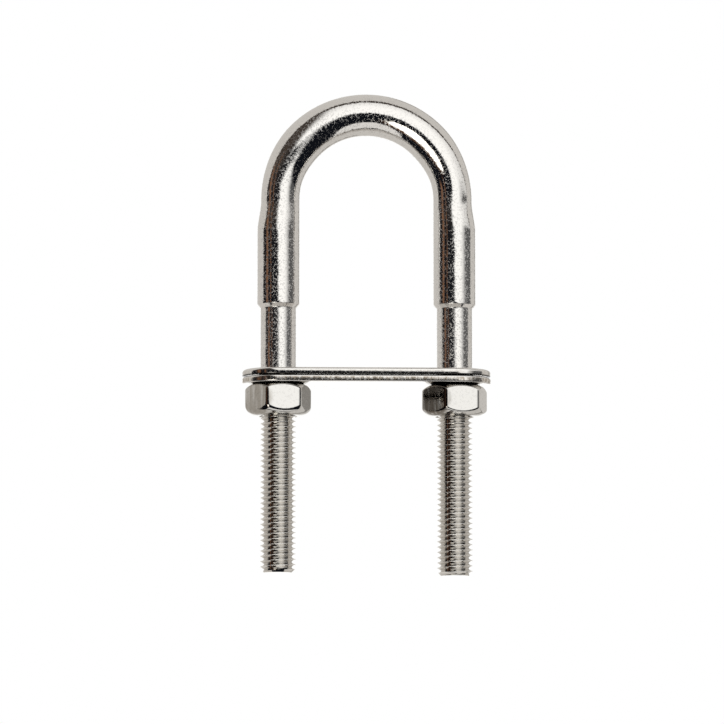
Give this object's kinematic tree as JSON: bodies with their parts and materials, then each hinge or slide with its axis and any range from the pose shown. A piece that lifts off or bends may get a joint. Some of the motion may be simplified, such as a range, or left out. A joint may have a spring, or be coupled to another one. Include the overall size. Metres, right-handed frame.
{
  "type": "u-bolt chainplate",
  "caption": "U-bolt chainplate for a deck: a bent rod bow with shouldered, threaded legs through flat round-ended plates, with hex nuts below.",
  "frame": {"origin": "midway between the two legs, in the plane of the upper plate's underside, which lies on the deck", "axes": "+X from the left leg to the right leg, +Y square to the bow away from the viewer, +Z along the legs, up towards the bow"},
  "size_m": [0.0706, 0.0206, 0.1373],
  "materials": {
    "bow_steel": "stainless steel, polished over drawn and turned surfaces, with fine pitting",
    "plate_steel": "stainless steel sheet, polished faces, blanked edges",
    "nut_steel": "stainless steel, bright, smooth flats"
  },
  "bodies": {
    "root": {"u_bolt": "bow_steel", "upper_plate": "plate_steel", "lower_plate": "plate_steel", "left_nut": "nut_steel", "right_nut": "nut_steel"}
  },
  "joints": []
}
